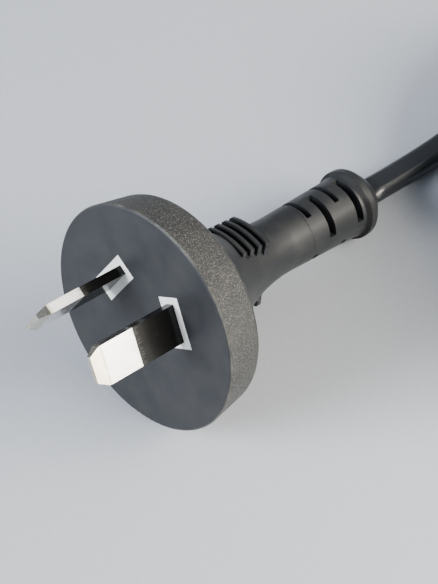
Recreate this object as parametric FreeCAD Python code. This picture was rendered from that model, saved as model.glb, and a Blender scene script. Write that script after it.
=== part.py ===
import FreeCAD, Part

import math
import os

from FreeCAD import Matrix, Placement, Rotation, Vector

# Two-pin type I plug, moulded on a flat twin cord, with the cord's coil and its far connector.
# The plug is modelled about its own axis: the engaging face is at w = 0, the pins point to +w
# and the cord leaves to -w, u is across the pins, and v points from the pins' wide end of the V
# to its narrow end. The finished plug is then laid down as it rests, on its rim and boot.

# Engaging face, rim and shoulder, mm
face_diameter = 39.0
face_edge_round = 0.4
rim_depth = 7.7
rim_back_diameter = 36.4
rim_back_round = 1.2
shoulder_fall = 0.15
shoulder_round = 1.5

# Neck and its flare
neck_diameter = 10.0
neck_start = 30.0
flare_radius = 32.0
flare_reach = 12.0

# Slotted boot and the bead at its end
boot_diameter = 10.9
slot_count = 4
slot_first = 35.3
slot_pitch = 3.33
slot_floor_clearance = 0.75
slot_width_odd = 1.1
slot_width_even = 1.45
slot_turn_odd = 24.0
slot_turn_even = -31.0
slot_span = 98.0
bead_diameter = 12.4
bead_start = 46.4
bead_rise = 0.9
bead_width = 1.5
bead_round = 0.5
bead_back_round = 1.0
boot_end = 51.3
boot_end_diameter = 8.0
boot_end_round = 0.8

# Grip ribs above and below the neck
rib_count = 4
rib_first = 17.75
rib_pitch = 1.75
rib_thickness = 1.0
rib_half_span = 4.1
rib_end_height = 7.0
rib_crown = 0.7
rib_fall = 0.13

# Pins: flat blades on a V, by the two-pin pattern of the socket
pin_circle_radius = 7.92
pin_angle = 30.0
blade_width = 6.35
blade_thickness = 1.6
blade_length = 17.0
tip_length = 1.8
tip_width = 4.3
tip_thickness = 0.8
sleeve_length = 8.5
sleeve_wall = 0.3
sleeve_bury = 2.0
anchor_length = 2.0
tail_width = 4.0
tail_end = 7.0
crimp_length = 4.0
crimp_wall = 0.8
crimp_seam = 0.3

# White carrier that holds the pins: a window post round each pin and a round base behind them
window_length = 8.75
window_width = 4.45
window_recess = 0.1
carrier_front = 3.0
carrier_back = 6.0
carrier_diameter = 25.0
carrier_centre_v = 2.5
carrier_edge_round = 0.5

# Flat twin cord
cord_width = 5.2
cord_thickness = 3.2
core_diameter = 2.1
core_spacing = 2.2
conductor_diameter = 1.2
jacket_start = 27.0
core_bend_start = 12.4
core_bend_end = 22.0

# The cord's route on the floor, mm: it leaves the boot along its axis, which meets the height at
# which the cord lies, and goes on from there to the coil
lead_height = 1.65
lead_points = [
    (1.7, 57.0, 2.6),
    (2.8, 69.9, 3.1),
]
arc_share = 0.45

# Round coil of the rest of the cord, and its tie
coil_centre_x = 32.2
coil_centre_y = 71.5
coil_middle_diameter = 54.0
coil_turns_across = 3
coil_turn_pitch = 3.7
coil_layers = 3
coil_layer_pitch = 5.4
coil_round = 1.5
tie_thickness = 0.5
tie_width = 4.0
tie_place = 266.0

# The cord from the coil's top layer to the far connector, which lies on the coil: two places on
# the floor, and the share of the rise from that layer to the connector's axis
tail_points = [
    (23.6, 97.2, 0.0),
    (33.2, 99.0, 0.06),
    (42.6, 96.5, 0.41),
    (50.1, 90.2, 0.79),
    (54.2, 81.4, 1.0),
    (54.2, 72.0, 1.0),
]

# Far connector: a two-hole figure-8 nose on a moulded grip with a short boot
hole_spacing = 8.6
lobe_diameter = 7.6
nose_length = 12.0
hole_diameter = 3.0
hole_depth = 11.0
grip_width = 19.0
grip_height = 11.0
grip_length = 17.0
grip_step = 2.0
grip_round = 2.6
grip_groove_count = 5
grip_groove_depth = 0.5
grip_groove_width = 0.9
grip_groove_pitch = 2.2
grip_groove_first = 5.0
tail_boot_length = 15.0
tail_boot_width = 8.6
tail_boot_height = 7.0
tail_boot_end_width = 7.0
tail_boot_end_height = 5.0
tail_groove_count = 4
tail_groove_width = 1.0
tail_groove_pitch = 2.6
tail_groove_first = 3.2
contact_length = 9.0
contact_wall = 0.3
contact_slot = 0.5
block_length = 9.0
block_width = 14.0
block_height = 5.6
contact_crimp_length = 3.5
contact_bend_gap = 1.8
contact_bend_length = 4.4

eps = 0.01
whole_turn = 360.0
quarter_turn = 90.0

face_radius = face_diameter / 2
rim_back_radius = rim_back_diameter / 2
neck_radius = neck_diameter / 2
boot_radius = boot_diameter / 2
bead_radius = bead_diameter / 2
jacket_half_width = cord_width / 2
blade_offset_u = pin_circle_radius * math.cos(math.radians(pin_angle))
blade_offset_v = pin_circle_radius * math.sin(math.radians(pin_angle))
slot_floor_radius = jacket_half_width + slot_floor_clearance
crimp_diameter = conductor_diameter + 2 * crimp_wall
crimp_start = tail_end
crimp_end = tail_end + crimp_length
coil_section_width = cord_thickness + (coil_turns_across - 1) * coil_turn_pitch
coil_height = cord_width + (coil_layers - 1) * coil_layer_pitch
coil_top = tie_thickness + coil_height
top_layer_height = coil_top - cord_width / 2
connector_height = coil_top + grip_height / 2
connector_length = nose_length + grip_length + tail_boot_length


# Outlines and paths

def between(a, b, share):
    """The point at that share of the way from a to b."""
    return a + (b - a) * share


def round_centre(before, corner, after, radius):
    """The centre of a round of that radius at a corner."""
    back = (before - corner).normalize()
    on = (after - corner).normalize()
    half = back.getAngle(on) / 2
    return corner + (back + on).normalize() * (radius / math.sin(half))


def corner_cut(before, corner, after, radius):
    """Where a round of that radius starts, passes and ends at a corner."""
    back = (before - corner).normalize()
    on = (after - corner).normalize()
    reach = radius / math.tan(back.getAngle(on) / 2)
    centre = round_centre(before, corner, after, radius)
    middle = centre + (corner - centre).normalize() * radius
    return corner + back * reach, middle, corner + on * reach


def rounded_edges(corners, closed):
    """Straight edges between corners (point, radius), with a tangent arc wherever radius is set."""
    count = len(corners)
    starts, ends, arcs = [], [], []
    for i, (point, radius) in enumerate(corners):
        inner = closed or 0 < i < count - 1
        if radius > 0 and inner:
            before = corners[i - 1][0]
            after = corners[(i + 1) % count][0]
            first, middle, last = corner_cut(before, point, after, radius)
            arcs.append(Part.Arc(first, middle, last).toShape())
        else:
            first, last = point, point
            arcs.append(None)
        starts.append(first)
        ends.append(last)
    edges = []
    for i in range(count):
        if arcs[i]:
            edges.append(arcs[i])
        follows = (i + 1) % count
        if (closed or follows) and (starts[follows] - ends[i]).Length > eps:
            edges.append(Part.LineSegment(ends[i], starts[follows]).toShape())
    return edges


def turned(edges):
    """The solid that an outline in the r-w plane makes when it turns once about the w axis."""
    face = Part.Face(Part.Wire(edges))
    solid = face.revolve(Vector(0, 0, 0), Vector(0, 0, 1), whole_turn)
    return solid


def box_at(width, depth, low, high, centre=(0.0, 0.0)):
    """A box of width along u and depth along v, between two places on w."""
    corner = Vector(centre[0] - width / 2, centre[1] - depth / 2, low)
    return Part.makeBox(width, depth, high - low, corner)


def rod(diameter, low, high, centre=(0.0, 0.0)):
    """A round rod along w, between two places."""
    return Part.makeCylinder(diameter / 2, high - low, Vector(centre[0], centre[1], low))


def oblong(width, height, plane_w, radius):
    """A rectangle with round corners across w, as a wire."""
    corners = [
        (Vector(su * width / 2, sv * height / 2, plane_w), radius)
        for su, sv in ((-1, -1), (1, -1), (1, 1), (-1, 1))
    ]
    return Part.Wire(rounded_edges(corners, True))


def stadium_bar(width, thickness, low, high):
    """A bar of the flat cord's section along w: a rectangle with two half-round sides."""
    half = (width - thickness) / 2
    r = thickness / 2
    top = Part.LineSegment(Vector(half, r, low), Vector(-half, r, low)).toShape()
    left = Part.Arc(Vector(-half, r, low), Vector(-half - r, 0, low), Vector(-half, -r, low))
    bottom = Part.LineSegment(Vector(-half, -r, low), Vector(half, -r, low)).toShape()
    right = Part.Arc(Vector(half, -r, low), Vector(half + r, 0, low), Vector(half, r, low))
    wire = Part.Wire([top, left.toShape(), bottom, right.toShape()])
    return Part.Face(wire).extrude(Vector(0, 0, high - low))


def route_edges(points, name):
    """Straight runs joined by tangent arcs, each as large as its two runs allow."""
    corners = [(points[0], 0.0)]
    radii = []
    for before, point, after in zip(points, points[1:], points[2:]):
        turn = (point - before).getAngle(after - point)
        shorter = min((point - before).Length, (after - point).Length)
        radius = arc_share * shorter / math.tan(turn / 2)
        radii.append(round(radius, 1))
        corners.append((point, radius))
    corners.append((points[-1], 0.0))
    print(name, "radii mm", radii)
    return rounded_edges(corners, False)


def pipe(edges, section):
    """A closed section carried along a path without twist."""
    shell = Part.Wire(edges).makePipeShell([section], True, False)
    return shell


# The plug's own pieces, about its axis

def flare_corner():
    """Where the flare's arc ends, and where its tangent there meets the shoulder's cone."""
    centre = Vector(neck_radius + flare_radius, 0, -neck_start)
    rise = flare_reach - neck_radius
    run = math.sqrt(2 * flare_radius * rise - rise * rise)
    arc_end = Vector(flare_reach, 0, run - neck_start)
    out = (arc_end - centre).normalize()
    tangent = Vector(-out.z, 0, out.x) * -1
    if tangent.z < 0:
        tangent = tangent * -1
    # the shoulder's cone: w = -rim_depth - shoulder_fall * (rim_back_radius - r)
    gap = -rim_depth - shoulder_fall * (rim_back_radius - arc_end.x) - arc_end.z
    step = gap / (tangent.z - shoulder_fall * tangent.x)
    middle_angle = math.asin(run / flare_radius) / 2
    middle = centre + Vector(-math.cos(middle_angle), 0, math.sin(middle_angle)) * flare_radius
    return arc_end, middle, arc_end + tangent * step


def rim_corners():
    """The face, the tapering rim and the shoulder, as far as the flare's arc."""
    arc_end, _, shoulder_corner = flare_corner()
    return [
        (Vector(0, 0, 0), 0.0),
        (Vector(face_radius, 0, 0), face_edge_round),
        (Vector(rim_back_radius, 0, -rim_depth), rim_back_round),
        (shoulder_corner, shoulder_round),
        (arc_end, 0.0),
    ]


def bead_corners():
    """The boot's end: the wall, a hollow, the bead and the slope down to the cord."""
    bead_front = bead_start + bead_rise
    bead_back = bead_front + bead_width
    return [
        (Vector(boot_radius, 0, -bead_start), bead_rise),
        (Vector(bead_radius, 0, -bead_front), bead_round),
        (Vector(bead_radius, 0, -bead_back), bead_back_round),
        (Vector(boot_end_diameter / 2, 0, -boot_end), boot_end_round),
        (Vector(0, 0, -boot_end), 0.0),
    ]


def turned_body():
    """Rim, shoulder, flared neck, boot and bead, turned in one outline."""
    arc_end, arc_middle, _ = flare_corner()
    neck_point = Vector(neck_radius, 0, -neck_start)
    back = [(neck_point, 0.0)] + bead_corners()
    edges = rounded_edges(rim_corners(), False)
    edges.append(Part.Arc(arc_end, arc_middle, neck_point).toShape())
    edges += rounded_edges(back, False)
    edges.append(Part.LineSegment(Vector(0, 0, -boot_end), Vector(0, 0, 0)).toShape())
    return turned(edges)


def grip_rib(index, side):
    """One grip rib: straight flanks and a crowned top, above or below the neck."""
    place = -(rib_first + index * rib_pitch) - rib_thickness / 2
    height = rib_end_height - index * rib_fall
    foot = Vector(rib_half_span, 0, place)
    far = Vector(-rib_half_span, 0, place)
    end = Vector(rib_half_span, height, place)
    far_end = Vector(-rib_half_span, height, place)
    crown = Vector(0, height + rib_crown, place)
    edges = [
        Part.LineSegment(far, foot).toShape(),
        Part.LineSegment(foot, end).toShape(),
        Part.Arc(end, crown, far_end).toShape(),
        Part.LineSegment(far_end, far).toShape(),
    ]
    rib = Part.Face(Part.Wire(edges)).extrude(Vector(0, 0, rib_thickness))
    if side < 0:
        rib = rib.mirror(Vector(0, 0, 0), Vector(0, 1, 0))
    return rib


def boot_slot(index, side):
    """One ring slot: a sector of a ring, turned left or right of the middle by turns."""
    odd = index % 2 == 0
    width = slot_width_odd if odd else slot_width_even
    turn = slot_turn_odd if odd else slot_turn_even
    middle = slot_first + index * slot_pitch
    start = Vector(0, 0, -middle - width / 2)
    ring = Part.makeCylinder(bead_radius, width, start, Vector(0, 0, 1), slot_span)
    ring = ring.cut(Part.makeCylinder(slot_floor_radius, width, start))
    first = side * quarter_turn + turn - slot_span / 2
    ring.rotate(Vector(0, 0, 0), Vector(0, 0, 1), first)
    return ring


def plug_body(inside):
    """The over-moulded body: turned shape and ribs, less slots, windows and what it encloses."""
    sides = (1, -1)
    window = box_at(window_width, window_length, -window_recess, window_recess)
    windows = [at_pin(window, side) for side in sides]
    ribs = [grip_rib(i, side) for i in range(rib_count) for side in sides]
    slots = [boot_slot(i, side) for i in range(slot_count) for side in sides]
    body = turned_body().fuse(ribs).removeSplitter()
    return body.cut(slots + windows + inside)


def at_pin(shape, side):
    """Moves a shape made on the axis, long side along v, to a pin's place on the V."""
    placed = shape.copy()
    placed.rotate(Vector(0, 0, 0), Vector(0, 0, 1), side * pin_angle)
    placed.translate(Vector(side * blade_offset_u, blade_offset_v, 0))
    return placed


def blade_tip():
    """The tip: the blade's section drawn down to a smaller one."""
    base = blade_length - tip_length
    sections = [
        oblong(blade_thickness, blade_width, base, 0.0),
        oblong(tip_thickness, tip_width, blade_length, 0.0),
    ]
    return Part.makeLoft(sections, True, True)


def pin():
    """A flat pin: bare blade, waist under the sleeve, anchor, tail and a rolled crimp."""
    waist_thickness = blade_thickness - 2 * sleeve_wall
    waist_width = blade_width - 2 * sleeve_wall
    anchor_start = sleeve_bury + anchor_length
    blade = box_at(blade_thickness, blade_width, sleeve_length, blade_length - tip_length)
    waist = box_at(waist_thickness, waist_width, -sleeve_bury, sleeve_length)
    anchor = box_at(blade_thickness, blade_width, -anchor_start, -sleeve_bury)
    tail = box_at(waist_thickness, tail_width, -crimp_start, -anchor_start)
    barrel = rod(crimp_diameter, -crimp_end, -crimp_start)
    bore = rod(conductor_diameter, -crimp_end, -crimp_start)
    seam = box_at(crimp_seam, crimp_diameter, -crimp_end, -crimp_start, (0.0, crimp_diameter / 2))
    barrel = barrel.cut([bore, seam])
    return blade.fuse([blade_tip(), waist, anchor, tail, barrel]).removeSplitter()


def sleeve():
    """The insulating sleeve, flush with the bare blade and buried a little in the carrier."""
    outside = box_at(blade_thickness, blade_width, -sleeve_bury, sleeve_length)
    waist_thickness = blade_thickness - 2 * sleeve_wall
    waist_width = blade_width - 2 * sleeve_wall
    return outside.cut(box_at(waist_thickness, waist_width, -sleeve_bury, sleeve_length))


def pin_carrier(pins):
    """Two window posts that reach the face, on a round base, moulded round the pins."""
    post = box_at(window_width, window_length, -carrier_front, -window_recess)
    centre = Vector(0, carrier_centre_v, -carrier_back)
    base = Part.makeCylinder(carrier_diameter / 2, carrier_back - carrier_front, centre)
    rims = [e for e in base.Edges if e.Curve.TypeId == "Part::GeomCircle"]
    base = base.makeFillet(carrier_edge_round, rims)
    carrier = base.fuse([at_pin(post, side) for side in (-1, 1)])
    return carrier.cut(pins)


def core_edges(side):
    """A core's way from the crimp inwards to its place in the cord's jacket."""
    pin_u = side * blade_offset_u
    jacket_u = side * core_spacing / 2
    points = [
        Vector(pin_u, blade_offset_v, -crimp_start),
        Vector(pin_u, blade_offset_v, -core_bend_start),
        Vector(jacket_u, 0, -core_bend_end),
        Vector(jacket_u, 0, -boot_end),
    ]
    bend = 2 * core_diameter
    corners = [(points[0], 0.0), (points[1], bend), (points[2], bend), (points[3], 0.0)]
    return rounded_edges(corners, False)


def round_wire(diameter, centre):
    """A circle across w."""
    return Part.Wire(Part.Circle(centre, Vector(0, 0, 1), diameter / 2).toShape())


def conductor(side):
    """A core's stranded copper, as one round bundle."""
    start = Vector(side * blade_offset_u, blade_offset_v, -crimp_start)
    return pipe(core_edges(side), round_wire(conductor_diameter, start))


def core_insulation(side):
    """A core's coloured insulation, from the crimp's end to the boot's end."""
    start = Vector(side * blade_offset_u, blade_offset_v, -crimp_start)
    outside = pipe(core_edges(side), round_wire(core_diameter, start))
    bare = rod(2 * core_diameter, -crimp_end, 0, (side * blade_offset_u, blade_offset_v))
    return outside.cut([conductor(side), bare])


def jacket_end(cores):
    """The flat jacket's last stretch, inside the neck and boot."""
    bar = stadium_bar(cord_width, cord_thickness, -boot_end, -jacket_start)
    return bar.cut(cores)


# Laying the plug down

def resting_tilt():
    """The axis' slope where the rim's back round and the bead's back round share a floor."""
    rim = [point for point, radius in rim_corners()]
    bead = [point for point, radius in bead_corners()]
    rim_centre = round_centre(rim[1], rim[2], rim[3], rim_back_round)
    bead_centre = round_centre(bead[1], bead[2], bead[3], bead_back_round)
    apart = rim_centre - bead_centre
    line = math.atan2(apart.x, apart.z)
    return line + math.asin((rim_back_round - bead_back_round) / apart.Length)


def lay_down(shapes):
    """Turns the plug onto its rim and boot, and centres its box over the origin, on the floor."""
    tilt = math.degrees(resting_tilt())
    turn = Rotation(Vector(1, 0, 0), quarter_turn - tilt)
    laid = {name: placed(shape, Placement(Vector(0, 0, 0), turn)) for name, shape in shapes.items()}
    box = Part.makeCompound(list(laid.values())).optimalBoundingBox(False, False)
    shift = Vector(0, -(box.YMin + box.YMax) / 2, -box.ZMin)
    return Placement(shift, turn)


def placed(shape, placement):
    """A copy of a shape, moved as a whole."""
    moved = shape.copy()
    moved.Placement = placement.multiply(moved.Placement)
    return moved


# The cord outside the plug

def flat_section(point, direction):
    """The flat cord's outline across a direction, broad side level."""
    side = direction.cross(Vector(0, 0, 1)).normalize()
    up = side.cross(direction).normalize()
    half = (cord_width - cord_thickness) / 2
    r = cord_thickness / 2
    right, left = point + side * half, point - side * half
    edges = [
        Part.LineSegment(right + up * r, left + up * r).toShape(),
        Part.Arc(left + up * r, left - side * r, left - up * r).toShape(),
        Part.LineSegment(left - up * r, right - up * r).toShape(),
        Part.Arc(right - up * r, right + side * r, right + up * r).toShape(),
    ]
    return Part.Wire(edges)


def flat_tube(points, name):
    """A stretch of the flat cord along its route; prints its volume against section x length."""
    edges = route_edges(points, name)
    section = flat_section(points[0], (points[1] - points[0]).normalize())
    tube = pipe(edges, section)
    area = Part.Face(section).Area
    length = sum(edge.Length for edge in edges)
    print(name, "length mm", round(length, 2), "volume share", round(tube.Volume / area / length, 5))
    return tube


def boot_points(plug_place):
    """The cord's exit from the boot, and the point where the boot's axis reaches the floor."""
    out = plug_place.multVec(Vector(0, 0, -boot_end))
    heading = plug_place.Rotation.multVec(Vector(0, 0, -1))
    down = out + heading * ((lead_height - out.z) / heading.z)
    print("cord points mm", out, down, "tilt degrees", round(math.degrees(resting_tilt()), 3))
    return [out, down]


def coil_section(growth):
    """The coil's section at x > 0, round-cornered, grown outwards by some thickness."""
    middle = coil_middle_diameter / 2
    half = coil_section_width / 2 + growth
    low = tie_thickness - growth
    high = tie_thickness + coil_height + growth
    corners = [
        (Vector(middle - half, 0, low), coil_round + growth),
        (Vector(middle + half, 0, low), coil_round + growth),
        (Vector(middle + half, 0, high), coil_round + growth),
        (Vector(middle - half, 0, high), coil_round + growth),
    ]
    return Part.Face(Part.Wire(rounded_edges(corners, True)))


def coil():
    """The outer shape of the wound-up cord: a ring with a round-cornered section."""
    ring = coil_section(0.0).revolve(Vector(0, 0, 0), Vector(0, 0, 1), whole_turn)
    ring.translate(Vector(coil_centre_x, coil_centre_y, 0))
    return ring


def coil_tie():
    """A strap once round the coil's section."""
    band = coil_section(tie_thickness).cut(coil_section(0.0))
    angle = math.degrees(2 * tie_width / coil_middle_diameter)
    strap = band.revolve(Vector(0, 0, 0), Vector(0, 0, 1), angle)
    strap.rotate(Vector(0, 0, 0), Vector(0, 0, 1), tie_place - angle / 2)
    strap.translate(Vector(coil_centre_x, coil_centre_y, 0))
    return strap


def tail_route():
    """The tail's points, with their heights worked out from their shares of the rise."""
    return [
        Vector(x, y, between(top_layer_height, connector_height, share))
        for x, y, share in tail_points
    ]


# The far connector, about its own axis: the nose ends at w = 0 and the cord leaves to -w

def figure_eight(low, high):
    """Two overlapping round bars along w."""
    bars = [
        rod(lobe_diameter, low, high, (side * hole_spacing / 2, 0.0))
        for side in (-1, 1)
    ]
    web = box_at(hole_spacing, lobe_diameter / 2, low, high)
    return bars[0].fuse([bars[1], web]).removeSplitter()


def connector_insert():
    """The nose with its two contact holes and the block behind it that the grip encloses."""
    nose = figure_eight(-nose_length, 0.0)
    block = box_at(block_width, block_height, -nose_length - block_length, -nose_length)
    return nose.fuse(block).removeSplitter()


def nose_holes():
    """The two holes that the contacts sit in."""
    return [
        rod(hole_diameter, -hole_depth, 0.0, (side * hole_spacing / 2, 0.0))
        for side in (-1, 1)
    ]


def connector_contact(side):
    """A rolled contact: a split tube at the hole's back, a shank and a crimp on the conductor."""
    place = (side * hole_spacing / 2, 0.0)
    inner = hole_diameter - 2 * contact_wall
    front = -(hole_depth - contact_length)
    tube = rod(hole_diameter, -hole_depth, front, place).cut(rod(inner, -hole_depth, front, place))
    split = box_at(contact_slot, hole_diameter, -hole_depth, front, (place[0], hole_diameter / 2))
    tube = tube.cut(split)
    shank_end = -(nose_length + block_length)
    floor = rod(hole_diameter, -hole_depth - contact_wall, -hole_depth, place)
    shank = rod(conductor_diameter, shank_end, -hole_depth - contact_wall, place)
    collar = rod(crimp_diameter, shank_end, shank_end + crimp_wall, place)
    barrel = rod(crimp_diameter, shank_end - contact_crimp_length, shank_end, place)
    bore = rod(conductor_diameter, shank_end - contact_crimp_length, shank_end, place)
    return tube.fuse([floor, shank, collar, barrel.cut(bore)]).removeSplitter()


def far_core_edges(side):
    """A core's way from the contact's crimp to its place in the jacket."""
    start = -(nose_length + block_length)
    end = -connector_length
    bend_start = start - contact_crimp_length - contact_bend_gap
    bend_end = bend_start - contact_bend_length
    outer_u = side * hole_spacing / 2
    jacket_u = side * core_spacing / 2
    corners = [
        (Vector(outer_u, 0, start), 0.0),
        (Vector(outer_u, 0, bend_start), core_diameter),
        (Vector(jacket_u, 0, bend_end), core_diameter),
        (Vector(jacket_u, 0, end), 0.0),
    ]
    return rounded_edges(corners, False)


def far_conductor(side):
    """The far end of a core's copper."""
    start = Vector(side * hole_spacing / 2, 0, -(nose_length + block_length))
    return pipe(far_core_edges(side), round_wire(conductor_diameter, start))


def far_core_insulation(side):
    """The far end of a core's insulation, from the crimp to the boot's end."""
    start = Vector(side * hole_spacing / 2, 0, -(nose_length + block_length))
    outside = pipe(far_core_edges(side), round_wire(core_diameter, start))
    bare_end = -(nose_length + block_length + contact_crimp_length)
    bare = rod(2 * core_diameter, bare_end, 0, (side * hole_spacing / 2, 0.0))
    return outside.cut([far_conductor(side), bare])


def far_jacket_end(cores):
    """The jacket's stretch inside the connector's boot."""
    end = -connector_length
    start = -(nose_length + grip_length - cord_width / 2)
    return stadium_bar(cord_width, cord_thickness, end, start).cut(cores)


def connector_grip(inside):
    """The moulded grip: a round-cornered block with side grooves and a slotted, tapering boot."""
    front = -nose_length
    middle = front - grip_length
    back = middle - tail_boot_length
    shoulder = middle + grip_step
    block = Part.makeLoft(
        [oblong(grip_width - grip_step, grip_height, front, grip_round),
         oblong(grip_width, grip_height, shoulder, grip_round)], True, True)
    step = Part.makeLoft(
        [oblong(grip_width, grip_height, shoulder, grip_round),
         oblong(tail_boot_width, tail_boot_height, middle, grip_round)], True, True)
    boot = Part.makeLoft(
        [oblong(tail_boot_width, tail_boot_height, middle, grip_round),
         oblong(tail_boot_end_width, tail_boot_end_height, back, tail_boot_end_height / 2 - eps)],
        True, True)
    cuts = []
    for side in (-1, 1):
        for i in range(grip_groove_count):
            place = front - grip_groove_first - i * grip_groove_pitch
            centre = (side * grip_width / 2, 0.0)
            cuts.append(box_at(2 * grip_groove_depth, grip_height, place - grip_groove_width, place, centre))
    for i in range(tail_groove_count):
        place = middle - tail_groove_first - i * tail_groove_pitch
        across = i % 2 == 0
        for side in (-1, 1):
            if across:
                half = (cord_width + tail_boot_width) / 2
                cut = box_at(tail_boot_width, tail_boot_height / 2, place - tail_groove_width, place,
                             (side * half, 0.0))
            else:
                half = (cord_thickness + tail_boot_height) / 2 + slot_floor_clearance / 2
                cut = box_at(tail_boot_width / 2, tail_boot_height, place - tail_groove_width, place,
                             (0.0, side * half))
            cuts.append(cut)
    return block.fuse([step, boot]).removeSplitter().cut(cuts + inside)


def connector_placement():
    """Lays the connector level on the coil, at the end of the cord's tail, in line with it."""
    before, end = tail_route()[-2:]
    heading = (end - before).normalize()
    origin = end + heading * connector_length
    up = Vector(0, 0, 1)
    across = up.cross(heading)
    matrix = Matrix(
        across.x, up.x, heading.x, origin.x,
        across.y, up.y, heading.y, origin.y,
        across.z, up.z, heading.z, origin.z,
        0, 0, 0, 1)
    return Placement(matrix)


# Putting the pieces together

def plug_pieces():
    """Every piece of the plug, in its own frame."""
    names = {-1: "neutral", 1: "active"}
    pieces = {}
    pins, sleeves, conductors, insulations = [], [], [], []
    for side, name in names.items():
        pins.append(at_pin(pin(), side))
        sleeves.append(at_pin(sleeve(), side))
        conductors.append(conductor(side))
        insulations.append(core_insulation(side))
        pieces[name + "_pin"] = pins[-1]
        pieces[name + "_pin_sleeve"] = sleeves[-1]
        pieces[name + "_conductor"] = conductors[-1]
        pieces[name + "_core_insulation"] = insulations[-1]
    pieces["pin_carrier"] = pin_carrier(pins + sleeves)
    pieces["jacket_end"] = jacket_end(conductors + insulations)
    inside = list(pieces.values())
    pieces["plug_body"] = plug_body(inside)
    return pieces


def connector_pieces():
    """Every piece of the far connector, in its own frame."""
    names = {-1: "neutral", 1: "active"}
    pieces = {}
    contacts, conductors, insulations = [], [], []
    for side, name in names.items():
        contacts.append(connector_contact(side))
        conductors.append(far_conductor(side))
        insulations.append(far_core_insulation(side))
        pieces["connector_" + name + "_contact"] = contacts[-1]
        pieces["connector_" + name + "_conductor"] = conductors[-1]
        pieces["connector_" + name + "_insulation"] = insulations[-1]
    insert = connector_insert().cut(nose_holes() + contacts)
    pieces["connector_insert"] = insert
    pieces["connector_jacket_end"] = far_jacket_end(conductors + insulations)
    inside = list(pieces.values())
    pieces["connector_body"] = connector_grip(inside)
    return pieces


def build():
    """All pieces, laid on the floor as they rest."""
    plug = plug_pieces()
    plug_place = lay_down(plug)
    pieces = {name: placed(shape, plug_place) for name, shape in plug.items()}
    connector_place = connector_placement()
    for name, shape in connector_pieces().items():
        pieces[name] = placed(shape, connector_place)
    ring = coil()
    lead = flat_tube(boot_points(plug_place) + [Vector(*p) for p in lead_points], "cord_lead")
    tail = flat_tube(tail_route(), "cord_tail")
    pieces["cord_lead"] = lead.cut(ring)
    pieces["cord_tail"] = tail.cut(ring)
    pieces["cord_coil"] = ring
    pieces["cord_tie"] = coil_tie()
    return pieces


os.makedirs("parts", exist_ok=True)
for name, shape in build().items():
    solids = shape.Solids
    print(name, len(solids), "solid", round(shape.Volume, 2), "mm3", shape.isValid())
    node = solids[0] if len(solids) == 1 else shape
    node.exportStep("parts/" + name + ".step")
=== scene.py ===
"""A type I mains plug: materials, flat cord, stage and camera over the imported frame."""
import math

import bpy
import numpy as np
from bpy.props import FloatProperty, FloatVectorProperty, IntProperty, PointerProperty
from mathutils import Matrix, Vector


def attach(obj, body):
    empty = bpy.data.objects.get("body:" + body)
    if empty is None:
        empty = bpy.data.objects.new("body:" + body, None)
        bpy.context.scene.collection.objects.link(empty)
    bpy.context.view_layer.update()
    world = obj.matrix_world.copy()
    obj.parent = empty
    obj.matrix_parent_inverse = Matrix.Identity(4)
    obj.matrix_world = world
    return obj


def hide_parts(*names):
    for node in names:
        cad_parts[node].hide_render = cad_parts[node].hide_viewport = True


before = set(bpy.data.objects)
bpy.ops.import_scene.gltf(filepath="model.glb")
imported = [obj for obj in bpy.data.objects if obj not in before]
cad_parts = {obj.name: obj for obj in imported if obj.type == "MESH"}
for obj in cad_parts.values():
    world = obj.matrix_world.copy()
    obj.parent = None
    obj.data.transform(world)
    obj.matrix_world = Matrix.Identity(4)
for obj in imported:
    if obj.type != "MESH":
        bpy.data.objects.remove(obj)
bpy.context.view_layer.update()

bl_info = {
    "name": "Type I plug on a flat cord",
    "version": (1, 0, 0),
    "blender": (4, 5, 0),
    "location": "View3D > Sidebar > Plug",
    "description": "Dresses a moulded plug, its insulated pins, its flat cord and the far connector",
    "category": "Object",
}

MM = 0.001

# How the plug lies: the slope of its axis, and the middle of its engaging face, in metres
TILT = math.radians(16.24)
FACE_MIDDLE = Vector((0.0, -0.017256, 0.019534))

# The cord's route in metres, from the boot to the coil, and from the coil to the far connector
LEAD_ROUTE = [
    (0.0, 0.0319973, 0.0051878),
    (0.0, 0.044143, 0.00165),
    (0.0017, 0.0570, 0.0018),
]
TAIL_ROUTE = [
    (0.0343, 0.0958, 0.0144),
    (0.0430, 0.0937, 0.0172),
    (0.0507, 0.0884, 0.0203),
    (0.0542, 0.0804, 0.0220),
    (0.0542, 0.0720, 0.0220),
]

# Parts of a turn: where the coil's lane and its layer begin to change, and how long a change takes
LANE_STEP = 0.44
LAYER_STEP = 0.72
STEP_RUN = 0.28

# Where the cord turns on edge, counted from the boot, and level again, counted back from the
# connector, and the length over which it turns, in metres
ON_EDGE_START = 0.022
ON_EDGE_RUN = 0.030
LEVEL_END = 0.002
LEVEL_RUN = 0.026
CORD_COLUMNS = 28
TILES_A_METRE = 10.0

# Marks on the body, in mm, each pair from where the mark fades out to where it is full. A radius
# is from the plug's axis, a height from it upwards, and a place lies along it, below 0 behind
# the engaging face. A spread is a distance from one place.
# The spark-textured rim, whose raised grains get painted glints
RIM_RADII = (17.9, 18.5)
RIM_PLACES = (-0.1, -0.5)
FACE_PLACES = (-0.35, -0.05)
# The rim's front edge: rubbed wear with a painted highlight along it
EDGE_RADII = (19.0, 19.2)
EDGE_PLACE = -0.25
EDGE_SPREAD = (0.22, 0.05)
# The seam, darkened with painted shade in its groove
SEAM_RADII = (4.8, 4.9)
SEAM_PLACE = -34.2
SEAM_SPREAD = (0.13, 0.04)
# The grip ribs, with painted shade in the valleys between their crests
RIB_SIDES = (4.25, 4.05)
RIB_HEIGHTS = (5.3, 5.7)
RIB_FRONT_PLACES = (-16.9, -17.3)
RIB_BACK_PLACES = (-24.2, -23.7)
# The hollow before the bead, darkened with painted shade on its lower side
HOLLOW_PLACE = -47.05
HOLLOW_SPREAD = (0.62, 0.30)
HOLLOW_HEIGHTS = (5.4, 3.4)

# Marks on the pins, in the same way
SCUFF_PLACES = (9.6, 8.5)
TIP_PLACES = (14.6, 15.0)
SLEEVE_END_PLACES = (7.2, 8.5)

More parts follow.
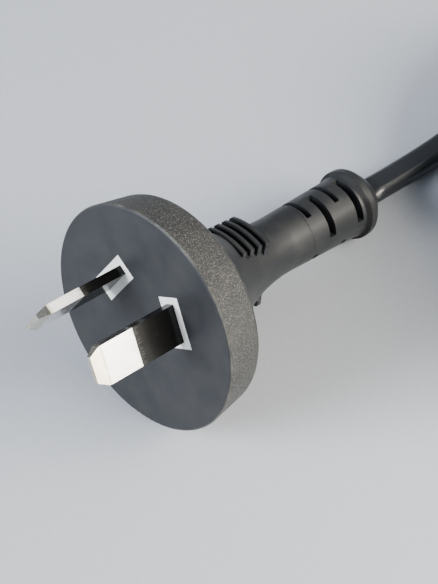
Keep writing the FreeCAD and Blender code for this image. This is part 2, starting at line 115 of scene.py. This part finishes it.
# The stage in metres: how far the floor reaches, what the lights aim at, and each light's place,
# width and colour
FLOOR_REACH = 3.0
LIGHT_AIM = (0.0, 0.0, 0.015)
LIGHTS = {
    "key": ((0.30, 0.15, 0.155), 0.28, (1.0, 0.94, 0.82)),
    "top": ((0.16, 0.42, 0.36), 0.22, (1.0, 0.96, 0.88)),
    "fill": ((-0.30, -0.66, 0.42), 0.5, (0.90, 0.94, 1.0)),
}


# Properties

class PlugSizes(bpy.types.PropertyGroup):
    """Sizes of what is wound, laid and textured here."""
    cord_width: FloatProperty(
        name="Cord width", description="Broad side of the flat cord",
        default=5.2 * MM, unit="LENGTH", precision=5)
    cord_thickness: FloatProperty(
        name="Cord thickness", description="Narrow side of the flat cord",
        default=3.2 * MM, unit="LENGTH", precision=5)
    cord_length: FloatProperty(
        name="Cord length", description="Real length from the boot to the far connector",
        default=1.5, unit="LENGTH")
    coil_middle: FloatVectorProperty(
        name="Coil middle", description="Centre of the wound-up length on the floor",
        default=(32.2 * MM, 71.5 * MM), size=2, subtype="XYZ")
    coil_outer: FloatProperty(
        name="Outer turn", description="Radius of the coil's outermost turn, at the cord's middle",
        default=30.6 * MM, unit="LENGTH", precision=5)
    coil_pitch: FloatProperty(
        name="Turn pitch", description="From one turn to the next turn beside it",
        default=3.7 * MM, unit="LENGTH", precision=5)
    coil_layer: FloatProperty(
        name="Layer pitch", description="From one layer of turns to the next one above it",
        default=5.4 * MM, unit="LENGTH", precision=5)
    coil_floor: FloatProperty(
        name="Lowest layer", description="Height of the cord's middle in the lowest layer",
        default=3.15 * MM, unit="LENGTH", precision=5)
    turns_across: IntProperty(
        name="Turns in a layer", description="Turns that lie beside each other", default=3)
    coil_layers: IntProperty(
        name="Layers", description="Layers of turns on each other", default=3)
    turns_wound: FloatProperty(
        name="Turns", description="Turns wound in all, the last layer not quite full", default=8.2)
    points_a_turn: IntProperty(
        name="Points a turn", description="Control points in each turn of the coil", default=20)
    texture_grain: FloatProperty(
        name="Spark texture", description="Size of one grain of the rim's moulded texture",
        default=0.2 * MM, unit="LENGTH", precision=5)
    rib_first: FloatProperty(
        name="First rib", description="From the engaging face to the first grip rib, in mm",
        default=17.75)
    rib_pitch: FloatProperty(
        name="Rib pitch", description="From one grip rib to the next, in mm", default=1.75)


class PlugColours(bpy.types.PropertyGroup):
    """Colours of the plug's own materials."""
    body: FloatVectorProperty(
        name="Body", description="Moulded body", subtype="COLOR", size=3,
        default=(0.014, 0.0155, 0.0185))
    # Lighter colour for painted glints on the rim's raised grains, and for the front edge's rubbed
    # wear with a painted highlight along it
    body_glints_and_wear: FloatVectorProperty(
        name="Body, rubbed", description="Raised grains and rubbed edges of the body",
        subtype="COLOR", size=3, default=(0.16, 0.155, 0.135))
    # Painted shade in the seam, in the valleys between the ribs and in the hollow before the bead
    body_painted_shade: FloatVectorProperty(
        name="Body, shut in", description="Seam, valleys between the ribs, hollow before the bead",
        subtype="COLOR", size=3, default=(0.006, 0.006, 0.007))
    pin: FloatVectorProperty(
        name="Pin", description="Plated metal of the pins", subtype="COLOR", size=3,
        default=(0.93, 0.92, 0.89))
    pin_tip: FloatVectorProperty(
        name="Pin tip", description="Metal that shows through at the tips", subtype="COLOR",
        size=3, default=(0.50, 0.45, 0.34))
    sleeve: FloatVectorProperty(
        name="Sleeve", description="Insulating sleeve", subtype="COLOR", size=3,
        default=(0.006, 0.006, 0.006))
    sleeve_rubbed: FloatVectorProperty(
        name="Sleeve, rubbed", description="End of the sleeve where the socket rubs it",
        subtype="COLOR", size=3, default=(0.16, 0.155, 0.14))
    carrier: FloatVectorProperty(
        name="Carrier", description="White windows round the pins", subtype="COLOR", size=3,
        default=(0.93, 0.93, 0.90))
    cord: FloatVectorProperty(
        name="Cord", description="Sheath of the cord", subtype="COLOR", size=3,
        default=(0.013, 0.0145, 0.017))


class PlugStage(bpy.types.PropertyGroup):
    """Camera, floor and light."""
    camera_place: FloatVectorProperty(
        name="Camera", description="Where the camera stands", subtype="XYZ", size=3,
        default=(0.160722, -0.125364, 0.264846))
    camera_look: FloatVectorProperty(
        name="Look", description="Direction in which the camera looks", subtype="DIRECTION",
        size=3, default=(-0.494773, 0.381453, -0.780829))
    camera_up: FloatVectorProperty(
        name="Up", description="The picture's upward direction", subtype="DIRECTION",
        size=3, default=(-0.512129, 0.597925, 0.616611))
    lens: FloatProperty(
        name="Lens", description="Focal length over a sensor 24 mm high", default=82.19,
        unit="CAMERA")
    floor: FloatVectorProperty(
        name="Floor", description="Colour of the floor", subtype="COLOR", size=3,
        default=(0.46, 0.485, 0.53))
    key_power: FloatProperty(
        name="Key light", description="Power of the low, warm panel on the right", default=4.6,
        unit="POWER")
    fill_power: FloatProperty(
        name="Fill light", description="Power of the soft light in front of the face", default=15.0,
        unit="POWER")
    top_power: FloatProperty(
        name="Top light", description="Power of the light behind and above the boot", default=0.4,
        unit="POWER")
    sky_colour: FloatVectorProperty(
        name="Room", description="Colour of the room's light", subtype="COLOR", size=3,
        default=(0.80, 0.88, 1.0))
    sky_strength: FloatProperty(
        name="Room light", description="Strength of the room's light", default=0.33)


def sizes():
    """The sizes in use."""
    return bpy.context.scene.plug_sizes


def colours():
    """The colours in use."""
    return bpy.context.scene.plug_colours


# Meshes

def tube_faces(rows, columns):
    """Quads of a tube of rows x columns points, and the two faces that shut its ends."""
    i, j = (a.ravel() for a in np.meshgrid(np.arange(rows - 1), np.arange(columns), indexing="ij"))
    here, after = i * columns, (i + 1) * columns
    beside = (j + 1) % columns
    quads = np.stack([here + j, here + beside, after + beside, after + j], axis=1).tolist()
    return quads + [list(range(columns))[::-1], list(range((rows - 1) * columns, rows * columns))]


def mesh_piece(name, points, faces):
    """A smooth object at the origin from points (n x 3) and lists of faces."""
    mesh = bpy.data.meshes.new(name)
    mesh.from_pydata(points.tolist(), [], faces)
    mesh.polygons.foreach_set("use_smooth", np.full(len(mesh.polygons), True))
    mesh.validate()
    mesh.update()
    piece = bpy.data.objects.new(name, mesh)
    bpy.context.scene.collection.objects.link(piece)
    return piece


def wear(piece, material):
    """Gives a piece that one material."""
    piece.data.materials.clear()
    piece.data.materials.append(material)


# Materials

class Shade:
    """One procedural material: short calls that add and join its nodes."""

    def __init__(self, name):
        self.material = bpy.data.materials.new(name)
        self.material.use_nodes = True
        self.tree = self.material.node_tree
        self.surface = self.tree.nodes["Principled BSDF"]

    def node(self, kind, **values):
        """A node of that kind with its properties set."""
        made = self.tree.nodes.new("ShaderNode" + kind)
        for key, value in values.items():
            setattr(made, key, value)
        return made

    def put(self, socket, value):
        """Links a socket to an output, or sets it to a number."""
        if isinstance(value, bpy.types.NodeSocket):
            self.tree.links.new(value, socket)
        else:
            socket.default_value = value

    def base(self, **values):
        """Sets the surface's own sockets, with underscores for spaces."""
        for key, value in values.items():
            self.put(self.surface.inputs[key.replace("_", " ").title().replace("Ior", "IOR")], value)

    def place(self, turn=(0.0, 0.0, 0.0), shift=(0.0, 0.0, 0.0)):
        """Object coordinates in millimetres, turned and shifted."""
        source = self.node("TexCoord").outputs["Object"]
        mapping = self.node("Mapping")
        self.put(mapping.inputs["Vector"], source)
        mapping.inputs["Scale"].default_value = (1 / MM, 1 / MM, 1 / MM)
        mapping.inputs["Rotation"].default_value = turn
        mapping.inputs["Location"].default_value = shift
        return mapping.outputs["Vector"]

    def maths(self, kind, first, *others):
        """A Math node, or a chain of them when there are more than two values."""
        for other in others or (0.0,):
            made = self.node("Math", operation=kind)
            self.put(made.inputs[0], first)
            self.put(made.inputs[1], other)
            first = made.outputs[0]
        return first

    def times(self, *values):
        """The product of the values."""
        return self.maths("MULTIPLY", *values)

    def plus(self, *values):
        """The sum of the values."""
        return self.maths("ADD", *values)

    def near(self, value, place, outer, inner):
        """1 where the value is within inner of a place, and 0 beyond outer."""
        return self.ramp(self.maths("ABSOLUTE", self.plus(value, -place)), outer, inner)

    def split(self, vector):
        """The three parts of a vector."""
        made = self.node("SeparateXYZ")
        self.put(made.inputs[0], vector)
        return made.outputs

    def joined(self, x, y, z):
        """A vector of three parts."""
        made = self.node("CombineXYZ")
        for socket, value in zip(made.inputs, (x, y, z)):
            self.put(socket, value)
        return made.outputs[0]

    def noise(self, vector, scale, detail=3.0, roughness=0.5):
        """Noise between 0 and 1 round 0.5."""
        made = self.node("TexNoise")
        self.put(made.inputs["Vector"], vector)
        made.inputs["Scale"].default_value = scale
        made.inputs["Detail"].default_value = detail
        made.inputs["Roughness"].default_value = roughness
        return made.outputs["Fac"]

    def ramp(self, value, low, high, to_low=0.0, to_high=1.0):
        """Carries low..high smoothly to to_low..to_high, and holds the ends."""
        made = self.node("MapRange", interpolation_type="SMOOTHSTEP")
        self.put(made.inputs["Value"], value)
        made.inputs["From Min"].default_value = low
        made.inputs["From Max"].default_value = high
        made.inputs["To Min"].default_value = to_low
        made.inputs["To Max"].default_value = to_high
        return made.outputs["Result"]

    def mix(self, share, one, other):
        """A colour between two others."""
        made = self.node("Mix", data_type="RGBA")
        self.put(made.inputs["Factor"], share)
        for socket, value in ((made.inputs[6], one), (made.inputs[7], other)):
            rgb = not isinstance(value, bpy.types.NodeSocket)
            self.put(socket, (*value, 1.0) if rgb else value)
        return made.outputs[2]

    def bump(self, height, distance, strength=1.0, normal=None):
        """A normal bent by a height, whose full range is distance metres high."""
        made = self.node("Bump")
        made.inputs["Strength"].default_value = strength
        made.inputs["Distance"].default_value = distance
        self.put(made.inputs["Height"], height)
        if normal is not None:
            self.put(made.inputs["Normal"], normal)
        return made.outputs["Normal"]


def plug_axes(shade):
    """Millimetres along the plug's own axes: across, towards the V's narrow end, along the pins."""
    turn = -(math.pi / 2 - TILT)
    middle = Matrix.Rotation(turn, 3, "X") @ FACE_MIDDLE
    return shade.place(turn=(turn, 0.0, 0.0), shift=tuple(-middle / MM))


def rib_wave(shade, u, v, w):
    """A wave along the plug that is 1 on each grip rib's crest, and where on the body it holds."""
    pitches = shade.maths("DIVIDE", shade.plus(w, sizes().rib_first), sizes().rib_pitch)
    wave = shade.maths("COSINE", shade.times(pitches, math.tau))
    across = shade.near(u, 0.0, *RIB_SIDES)
    above = shade.ramp(shade.maths("ABSOLUTE", v), *RIB_HEIGHTS)
    along = shade.times(shade.ramp(w, *RIB_BACK_PLACES), shade.ramp(w, *RIB_FRONT_PLACES))
    return wave, shade.times(across, above, along)


def moulded_body():
    """Dark satin moulding: smooth face, spark-textured rim, finer grain on the neck and boot."""
    shade = Shade("moulded_body")
    spot = plug_axes(shade)
    u, v, w = shade.split(spot)
    radius = shade.maths("SQRT", shade.plus(shade.times(u, u), shade.times(v, v)))
    rim = shade.times(shade.ramp(radius, *RIM_RADII), shade.ramp(w, *RIM_PLACES))
    face = shade.ramp(w, *FACE_PLACES)
    grain = shade.noise(spot, MM / sizes().texture_grain, 2.0, 0.6)
    fine = shade.noise(spot, 7.0, 3.0, 0.6)
    cloud = shade.noise(spot, 0.22, 3.0, 0.5)
    # Painted highlights: the rim's raised grains take a lighter colour where they would glint in the
    # light
    glints = shade.times(shade.ramp(grain, 0.50, 0.68), rim, 0.75)
    haze = shade.ramp(cloud, 0.3, 0.75, 0.0, 0.07)
    # The front edge is lighter: rubbed wear and a painted highlight along it
    edge = shade.times(shade.ramp(radius, *EDGE_RADII), shade.near(w, EDGE_PLACE, *EDGE_SPREAD))
    edge_wear_and_highlight = shade.times(edge, shade.ramp(cloud, 0.35, 0.7, 0.15, 0.6))
    seam = shade.times(shade.near(w, SEAM_PLACE, *SEAM_SPREAD), shade.ramp(radius, *SEAM_RADII))
    wave, on_ribs = rib_wave(shade, u, v, w)
    valley = shade.times(shade.ramp(wave, 0.75, 0.1), on_ribs)
    hollow = shade.times(shade.near(w, HOLLOW_PLACE, *HOLLOW_SPREAD), shade.ramp(v, *HOLLOW_HEIGHTS))
    # Painted shade: the seam, the valleys between the rib crests and the lower side of the hollow
    # before the bead are darkened
    painted_shade = shade.maths("MAXIMUM", shade.times(seam, 0.9), shade.times(valley, 0.85),
                          shade.times(hollow, 0.97))
    tone = shade.mix(shade.plus(glints, haze, edge_wear_and_highlight), tuple(colours().body),
                     tuple(colours().body_glints_and_wear))
    rougher = shade.maths("MAXIMUM", shade.times(rim, 0.10), shade.times(hollow, 0.50))
    shade.base(
        base_color=shade.mix(painted_shade, tone, tuple(colours().body_painted_shade)),
        roughness=shade.plus(shade.times(face, 0.06), shade.ramp(fine, 0.3, 0.7, 0.38, 0.47),
                             rougher),
        specular_ior_level=0.38)
    grainy = shade.bump(shade.times(grain, rim), 0.16 * MM)
    cut = shade.bump(shade.times(seam, -1.0), 0.05 * MM, 0.8, grainy)
    crowned = shade.bump(shade.times(wave, on_ribs), 0.22 * MM, 1.0, cut)
    shade.base(normal=shade.bump(fine, 0.012 * MM, 0.6, crowned))
    return shade.material


def plated_metal():
    """Bright plated metal: fine drawing lines along the blade, faint scuffs by the sleeve, and
    tips where the metal below shows through."""
    shade = Shade("plated_metal")
    spot = plug_axes(shade)
    u, v, w = shade.split(spot)
    drawn = shade.joined(shade.times(u, 9.0), shade.times(v, 9.0), shade.times(w, 0.35))
    lines = shade.noise(drawn, 1.0, 4.0, 0.7)
    blots = shade.noise(spot, 0.55, 3.0)
    scuffed = shade.times(shade.ramp(w, *SCUFF_PLACES), shade.ramp(lines, 0.35, 0.65))
    worn = shade.plus(shade.ramp(blots, 0.45, 0.75, 0.0, 0.25), shade.times(scuffed, 0.6))
    tip = shade.times(shade.ramp(w, *TIP_PLACES), shade.ramp(blots, 0.3, 0.65, 0.55, 0.85))
    bright = tuple(colours().pin)
    dull = tuple(0.62 * c for c in bright)
    shade.base(
        base_color=shade.mix(tip, shade.mix(worn, bright, dull), tuple(colours().pin_tip)),
        metallic=1.0,
        roughness=shade.plus(shade.ramp(lines, 0.2, 0.8, 0.16, 0.32), shade.times(scuffed, 0.2)),
        normal=shade.bump(lines, 0.004 * MM, 0.5))
    return shade.material


def glossy_sleeve():
    """Glossy black sleeve with light handling marks, greyer where the socket has rubbed it."""
    shade = Shade("glossy_sleeve")
    spot = plug_axes(shade)
    u, v, w = shade.split(spot)
    streaks = shade.joined(shade.times(u, 5.0), shade.times(v, 5.0), shade.times(w, 0.8))
    rubs = shade.noise(streaks, 1.0, 5.0, 0.65)
    end = shade.times(shade.ramp(w, *SLEEVE_END_PLACES), shade.ramp(rubs, 0.35, 0.75))
    shade.base(
        base_color=shade.mix(shade.times(end, 0.35), tuple(colours().sleeve),
                             tuple(colours().sleeve_rubbed)),
        roughness=shade.plus(shade.ramp(rubs, 0.3, 0.8, 0.16, 0.30), shade.times(end, 0.3)),
        specular_ior_level=0.16,
        normal=shade.bump(rubs, 0.006 * MM, 0.4))
    return shade.material


def white_carrier():
    """Satin white moulding with a faint flow pattern."""
    shade = Shade("white_carrier")
    spot = plug_axes(shade)
    flow = shade.noise(spot, 0.8, 4.0)
    fine = shade.noise(spot, 9.0, 2.0)
    white = tuple(colours().carrier)
    warm = (white[0] * 0.93, white[1] * 0.92, white[2] * 0.88)
    shade.base(
        base_color=shade.mix(shade.ramp(flow, 0.35, 0.75), white, warm),
        roughness=shade.ramp(fine, 0.3, 0.7, 0.34, 0.44),
        subsurface_weight=0.05,
        normal=shade.bump(fine, 0.006 * MM, 0.4))
    shade.surface.inputs["Subsurface Radius"].default_value = (0.0006, 0.0006, 0.0005)
    return shade.material


def cord_sheath():
    """Smooth extruded sheath: faint lines along the cord from its own length coordinate."""
    shade = Shade("cord_sheath")
    uv = shade.node("UVMap", uv_map="along").outputs["UV"]
    around, along, _ = shade.split(uv)
    drawn = shade.joined(shade.times(around, 24.0), shade.times(along, 4.0), 0.0)
    lines = shade.noise(drawn, 1.0, 3.0, 0.6)
    speck = shade.noise(shade.place(), 5.0, 3.0, 0.6)
    dark = tuple(colours().cord)
    grey = tuple(2.1 * c for c in dark)
    shade.base(
        base_color=shade.mix(shade.ramp(speck, 0.4, 0.8, 0.0, 0.2), dark, grey),
        roughness=shade.ramp(lines, 0.25, 0.75, 0.27, 0.34),
        specular_ior_level=0.8,
        normal=shade.bump(lines, 0.004 * MM, 0.4))
    return shade.material


def plain_moulding(name, colour, roughness, grain=4.0, depth=0.01):
    """A firm moulded plastic of one colour, slightly clouded, with a fine grain."""
    shade = Shade(name)
    spot = shade.place()
    cloud = shade.noise(spot, 0.4, 3.0)
    fine = shade.noise(spot, grain, 3.0, 0.6)
    paler = tuple(min(1.0, 1.35 * c + 0.01) for c in colour)
    shade.base(
        base_color=shade.mix(shade.ramp(cloud, 0.35, 0.75, 0.0, 0.6), colour, paler),
        roughness=shade.ramp(fine, 0.3, 0.7, roughness, roughness + 0.1),
        normal=shade.bump(fine, depth * MM, 0.5))
    return shade.material


def stranded_metal(name, colour, pitch):
    """Bare metal with the fine turns of its strands, or the marks of rolling."""
    shade = Shade(name)
    spot = shade.place()
    x, y, z = shade.split(spot)
    slant = shade.plus(x, z, shade.times(y, 0.7))
    strands = shade.maths("SINE", shade.times(slant, math.tau / pitch))
    tarnish = shade.noise(spot, 0.9, 4.0, 0.6)
    dull = tuple(0.55 * c for c in colour)
    shade.base(
        base_color=shade.mix(shade.ramp(tarnish, 0.4, 0.75, 0.0, 0.7), colour, dull),
        metallic=1.0,
        roughness=shade.ramp(tarnish, 0.3, 0.7, 0.25, 0.4),
        normal=shade.bump(strands, 0.03 * MM, 0.5))
    return shade.material


def floor_surface():
    """Plain pale floor with a barely visible tooth."""
    shade = Shade("floor_surface")
    tooth = shade.noise(shade.place(), 0.9, 4.0, 0.6)
    pale = tuple(bpy.context.scene.plug_stage.floor)
    paler = tuple(min(1.0, 1.04 * c) for c in pale)
    shade.base(
        base_color=shade.mix(shade.ramp(tooth, 0.3, 0.7), pale, paler),
        roughness=0.8,
        specular_ior_level=0.2)
    return shade.material


# The cord

def eased(share):
    """A share from 0 to 1, level at both ends: s s (3 - 2 s)."""
    return share * share * (3.0 - 2.0 * share)


def coil_turns():
    """Control points of the coil: layers of circles that step one lane inwards or outwards a
    turn, and up a layer after each last lane, so that every turn has a place of its own.

    At t turns the angle is pi - 2 pi t. The steps done are floor(t) plus a smooth step over part
    of the turn, earlier for the lanes than for the layers, so that a lane is free when the cord
    rises into it. A point is (middle + r cos angle, middle + r sin angle, height)."""
    size = sizes()
    across = size.turns_across
    count = round(size.turns_wound * size.points_a_turn) + 1
    t = np.linspace(0.0, size.turns_wound, count)

    def stepped(start):
        """Whole turns done, with a smooth step that begins at that part of each turn."""
        return np.floor(t) + eased(np.clip((t % 1.0 - start) / STEP_RUN, 0.0, 1.0))

    whole = np.arange(across * size.coil_layers)
    layer = whole // across
    lane = np.where(layer % 2 == 0, whole % across, across - 1 - whole % across)
    radius = size.coil_outer - size.coil_pitch * np.interp(stepped(LANE_STEP), whole, lane)
    radius = radius / math.cos(math.pi / size.points_a_turn)
    height = size.coil_floor + size.coil_layer * np.interp(stepped(LAYER_STEP), whole, layer)
    angle = math.pi - math.tau * t
    x = size.coil_middle[0] + radius * np.cos(angle)
    y = size.coil_middle[1] + radius * np.sin(angle)
    return np.stack([x, y, height], axis=1)


def smooth_line(points):
    """Points along the NURBS curve of order 3 that has those control points."""
    curve = bpy.data.curves.new("route", "CURVE")
    curve.dimensions = "3D"
    spline = curve.splines.new("NURBS")
    spline.points.add(len(points) - 1)
    for control, place in zip(spline.points, points):
        control.co = (*place, 1.0)
    spline.order_u = 3
    spline.use_endpoint_u = True
    spline.resolution_u = 6
    curve.resolution_u = 6
    holder = bpy.data.objects.new("route", curve)
    line = bpy.data.meshes.new_from_object(holder)
    places = np.zeros(len(line.vertices) * 3)
    line.vertices.foreach_get("co", places)
    bpy.data.objects.remove(holder)
    bpy.data.curves.remove(curve)
    bpy.data.meshes.remove(line)
    return places.reshape(-1, 3)


def flat_outline(count):
    """The flat cord's section, level above and below with full-round sides of radius b:
    (+-(a - b) + b cos angle, b sin angle), where a and b are half its width and thickness."""
    size = sizes()
    a, b = size.cord_width / 2, size.cord_thickness / 2
    angle = (np.arange(count) + 0.5) * math.tau / count
    x = np.sign(np.cos(angle)) * (a - b) + b * np.cos(angle)
    return np.stack([x, b * np.sin(angle)], axis=1)


def swept(line, outline, turn):
    """An outline carried along a line: each ring stands across the line's direction, its x axis
    level and then turned about that direction by its own angle."""
    run = np.gradient(line, axis=0)
    run /= np.linalg.norm(run, axis=1, keepdims=True)
    level = np.cross(run, [0.0, 0.0, 1.0])
    level /= np.linalg.norm(level, axis=1, keepdims=True)
    rise = np.cross(level, run)
    c, s = np.cos(turn)[:, None], np.sin(turn)[:, None]
    side = c * level + s * rise
    lift = c * rise - s * level
    rings = (line[:, None, :] + outline[None, :, :1] * side[:, None, :]
             + outline[None, :, 1:] * lift[:, None, :])
    return rings.reshape(-1, 3)


def length_map(piece, rows, columns, metres):
    """A UV map named along: once round the section, and tiles of the length along the cord."""
    layer = piece.data.uv_layers.new(name="along")
    index = np.zeros(len(piece.data.loops), dtype=int)
    piece.data.loops.foreach_get("vertex_index", index)
    row = np.minimum(index // columns, rows - 1)
    around = (index % columns) / columns
    both = np.stack([around, metres[row] * TILES_A_METRE], axis=1)
    layer.data.foreach_set("uv", both.ravel())


class PLUG_OT_cord(bpy.types.Operator):
    """Lays the flat cord: out of the boot, over the floor, round the coil and to the connector"""
    bl_idname = "plug.cord"
    bl_label = "Lay the cord"

    def execute(self, context):
        route = np.concatenate([np.array(LEAD_ROUTE), coil_turns(), np.array(TAIL_ROUTE)])
        line = smooth_line(route)
        steps = np.linalg.norm(np.diff(line, axis=0), axis=1)
        metres = np.concatenate([[0.0], np.cumsum(steps)])
        on_edge = np.clip((metres - ON_EDGE_START) / ON_EDGE_RUN, 0.0, 1.0)
        level_again = np.clip((metres[-1] - LEVEL_END - metres) / LEVEL_RUN, 0.0, 1.0)
        turn = math.pi / 2 * eased(np.minimum(on_edge, level_again))
        rings = swept(line, flat_outline(CORD_COLUMNS), turn)
        cord = mesh_piece("flat_cord", rings, tube_faces(len(line), CORD_COLUMNS))
        length_map(cord, len(line), CORD_COLUMNS, metres)
        wear(cord, cord_sheath())
        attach(cord, "root")
        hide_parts("cord_lead", "cord_coil", "cord_tail")
        return {"FINISHED"}


class PLUG_OT_body(bpy.types.Operator):
    """Finishes the moulded body of the plug"""
    bl_idname = "plug.body"
    bl_label = "Finish the body"

    def execute(self, context):
        wear(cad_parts["plug_body"], moulded_body())
        return {"FINISHED"}


class PLUG_OT_pins(bpy.types.Operator):
    """Finishes the pins and their sleeves"""
    bl_idname = "plug.pins"
    bl_label = "Finish the pins"

    def execute(self, context):
        metal = plated_metal()
        gloss = glossy_sleeve()
        for side in ("active", "neutral"):
            wear(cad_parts[side + "_pin"], metal)
            wear(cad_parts[side + "_pin_sleeve"], gloss)
        return {"FINISHED"}


class PLUG_OT_carrier(bpy.types.Operator):
    """Finishes the white carrier round the pins"""
    bl_idname = "plug.carrier"
    bl_label = "Finish the carrier"

    def execute(self, context):
        wear(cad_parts["pin_carrier"], white_carrier())
        return {"FINISHED"}


class PLUG_OT_cores(bpy.types.Operator):
    """Finishes the cores, their copper and the jacket's ends"""
    bl_idname = "plug.cores"
    bl_label = "Finish the cores"

    def execute(self, context):
        copper = stranded_metal("copper_strands", (0.85, 0.42, 0.26), 0.5)
        brown = plain_moulding("brown_core", (0.13, 0.05, 0.02), 0.35)
        blue = plain_moulding("blue_core", (0.03, 0.13, 0.42), 0.35)
        sheath = plain_moulding("sheath_end", tuple(colours().cord), 0.35)
        for name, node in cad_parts.items():
            if "conductor" in name:
                wear(node, copper)
            elif "insulation" in name:
                wear(node, brown if "active" in name else blue)
            elif "jacket_end" in name:
                wear(node, sheath)
        return {"FINISHED"}


class PLUG_OT_connector(bpy.types.Operator):
    """Finishes the far connector and the coil's strap"""
    bl_idname = "plug.connector"
    bl_label = "Finish the connector"

    def execute(self, context):
        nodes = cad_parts
        wear(nodes["connector_body"], plain_moulding("connector_grip", (0.030, 0.032, 0.036), 0.5))
        wear(nodes["connector_insert"], plain_moulding("connector_nose", (0.02, 0.02, 0.022), 0.3))
        brass = stranded_metal("rolled_brass", (0.78, 0.60, 0.30), 2.5)
        wear(nodes["connector_active_contact"], brass)
        wear(nodes["connector_neutral_contact"], brass)
        wear(nodes["cord_tie"], plain_moulding("strap", (0.018, 0.018, 0.02), 0.6, 2.5, 0.05))
        return {"FINISHED"}


# Stage

def soft_light(name, place, width, power, colour):
    """A square area light that faces the plug."""
    data = bpy.data.lights.new(name, "AREA")
    data.shape = "SQUARE"
    data.size = width
    data.energy = power
    data.color = colour
    light = bpy.data.objects.new(name, data)
    light.location = place
    light.rotation_euler = (Vector(LIGHT_AIM) - Vector(place)).to_track_quat("-Z", "Y").to_euler()
    bpy.context.scene.collection.objects.link(light)


def look_through(settings):
    """The camera at its place, with its look and up directions."""
    look = Vector(settings.camera_look).normalized()
    right = look.cross(Vector(settings.camera_up)).normalized()
    up = right.cross(look)
    data = bpy.data.cameras.new("camera")
    data.sensor_fit = "VERTICAL"
    data.sensor_height = 24.0
    data.lens = settings.lens
    data.clip_start = 0.01
    camera = bpy.data.objects.new("camera", data)
    turn = Matrix((right, up, -look)).transposed().to_4x4()
    camera.matrix_world = Matrix.Translation(settings.camera_place) @ turn
    bpy.context.scene.collection.objects.link(camera)
    bpy.context.scene.camera = camera


class PLUG_OT_stage(bpy.types.Operator):
    """Sets up the camera, the pale floor and the soft light"""
    bl_idname = "plug.stage"
    bl_label = "Set the stage"

    def execute(self, context):
        settings = context.scene.plug_stage
        look_through(settings)
        corners = FLOOR_REACH * np.array([(-1, -1, 0), (1, -1, 0), (1, 1, 0), (-1, 1, 0)])
        floor = mesh_piece("floor", corners, [(0, 1, 2, 3)])
        wear(floor, floor_surface())
        world = bpy.data.worlds.new("soft_room")
        world.use_nodes = True
        sky = world.node_tree.nodes["Background"]
        sky.inputs["Color"].default_value = (*settings.sky_colour, 1.0)
        sky.inputs["Strength"].default_value = settings.sky_strength
        context.scene.world = world
        for name, (place, width, colour) in LIGHTS.items():
            soft_light(name, place, width, getattr(settings, name + "_power"), colour)
        return {"FINISHED"}


class PLUG_PT_panel(bpy.types.Panel):
    """The plug's sizes, colours and steps"""
    bl_idname = "PLUG_PT_panel"
    bl_label = "Plug"
    bl_space_type = "VIEW_3D"
    bl_region_type = "UI"
    bl_category = "Plug"

    def draw(self, context):
        for group in (context.scene.plug_sizes, context.scene.plug_colours, context.scene.plug_stage):
            box = self.layout.box()
            for name in group.__annotations__:
                box.prop(group, name)
        for step in STEPS:
            self.layout.operator(step.bl_idname)


GROUPS = {"plug_sizes": PlugSizes, "plug_colours": PlugColours, "plug_stage": PlugStage}
STEPS = (PLUG_OT_stage, PLUG_OT_cord, PLUG_OT_body, PLUG_OT_pins, PLUG_OT_carrier,
         PLUG_OT_cores, PLUG_OT_connector)


def register():
    """Registers the properties, the steps and the panel."""
    for name, group in GROUPS.items():
        bpy.utils.register_class(group)
        setattr(bpy.types.Scene, name, PointerProperty(type=group))
    for step in STEPS + (PLUG_PT_panel,):
        bpy.utils.register_class(step)


def unregister():
    """Takes all of it out again."""
    for step in (PLUG_PT_panel,) + STEPS[::-1]:
        bpy.utils.unregister_class(step)
    for name, group in GROUPS.items():
        delattr(bpy.types.Scene, name)
        bpy.utils.unregister_class(group)


def main():
    """Runs every step, the stage and the cord first."""
    register()
    bpy.ops.plug.stage()
    bpy.ops.plug.cord()
    bpy.ops.plug.body()
    bpy.ops.plug.pins()
    bpy.ops.plug.carrier()
    bpy.ops.plug.cores()
    bpy.ops.plug.connector()


if __name__ == "__main__":
    main()
